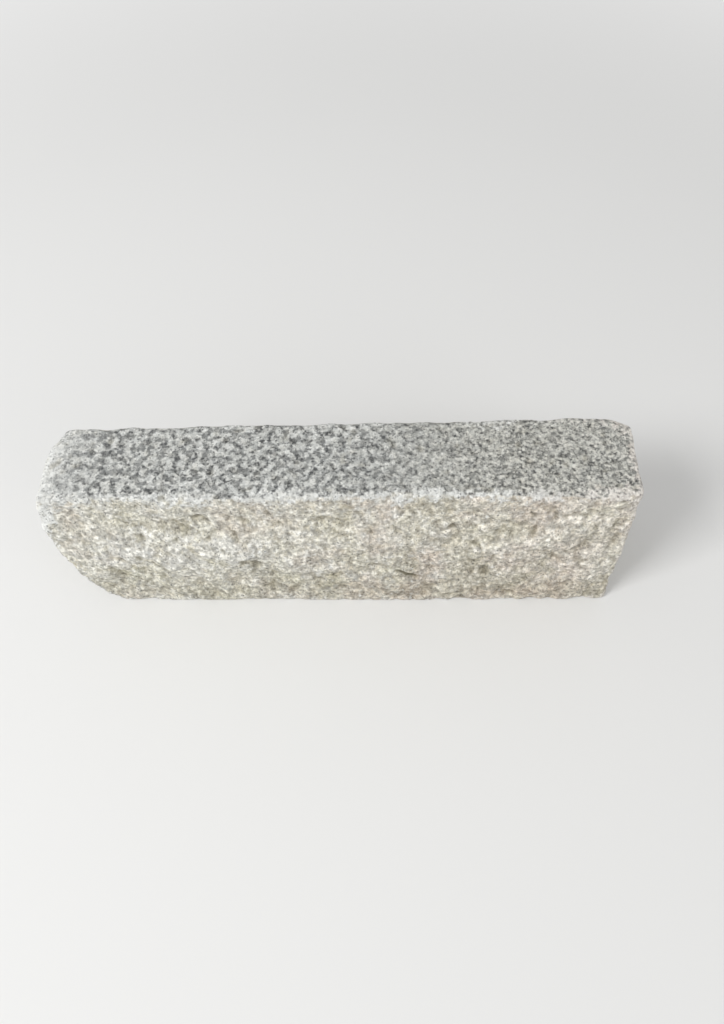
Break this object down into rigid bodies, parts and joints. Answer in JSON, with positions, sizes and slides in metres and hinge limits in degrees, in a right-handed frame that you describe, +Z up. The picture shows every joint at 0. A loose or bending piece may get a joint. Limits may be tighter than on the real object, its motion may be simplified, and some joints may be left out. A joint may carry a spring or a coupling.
{
  "type": "granite kerb stone",
  "caption": "Split granite kerb stone, laid between pavement and roadway, with a dressed flat top, a battered rough road face and flat joint ends.",
  "frame": {"origin": "middle of the bed, the flat underside, under the middle of the stone's box", "axes": "+X along the kerb, to the right as seen from the road; -Y towards the road, where the battered face is; +Z up"},
  "size_m": [0.8, 0.1678, 0.25],
  "materials": {
    "granite": "grey granite of fine to medium grain, split rough on the face, back and lower ends and bush hammered on top"
  },
  "bodies": {
    "root": {"kerb_stone": "granite"}
  },
  "joints": []
}
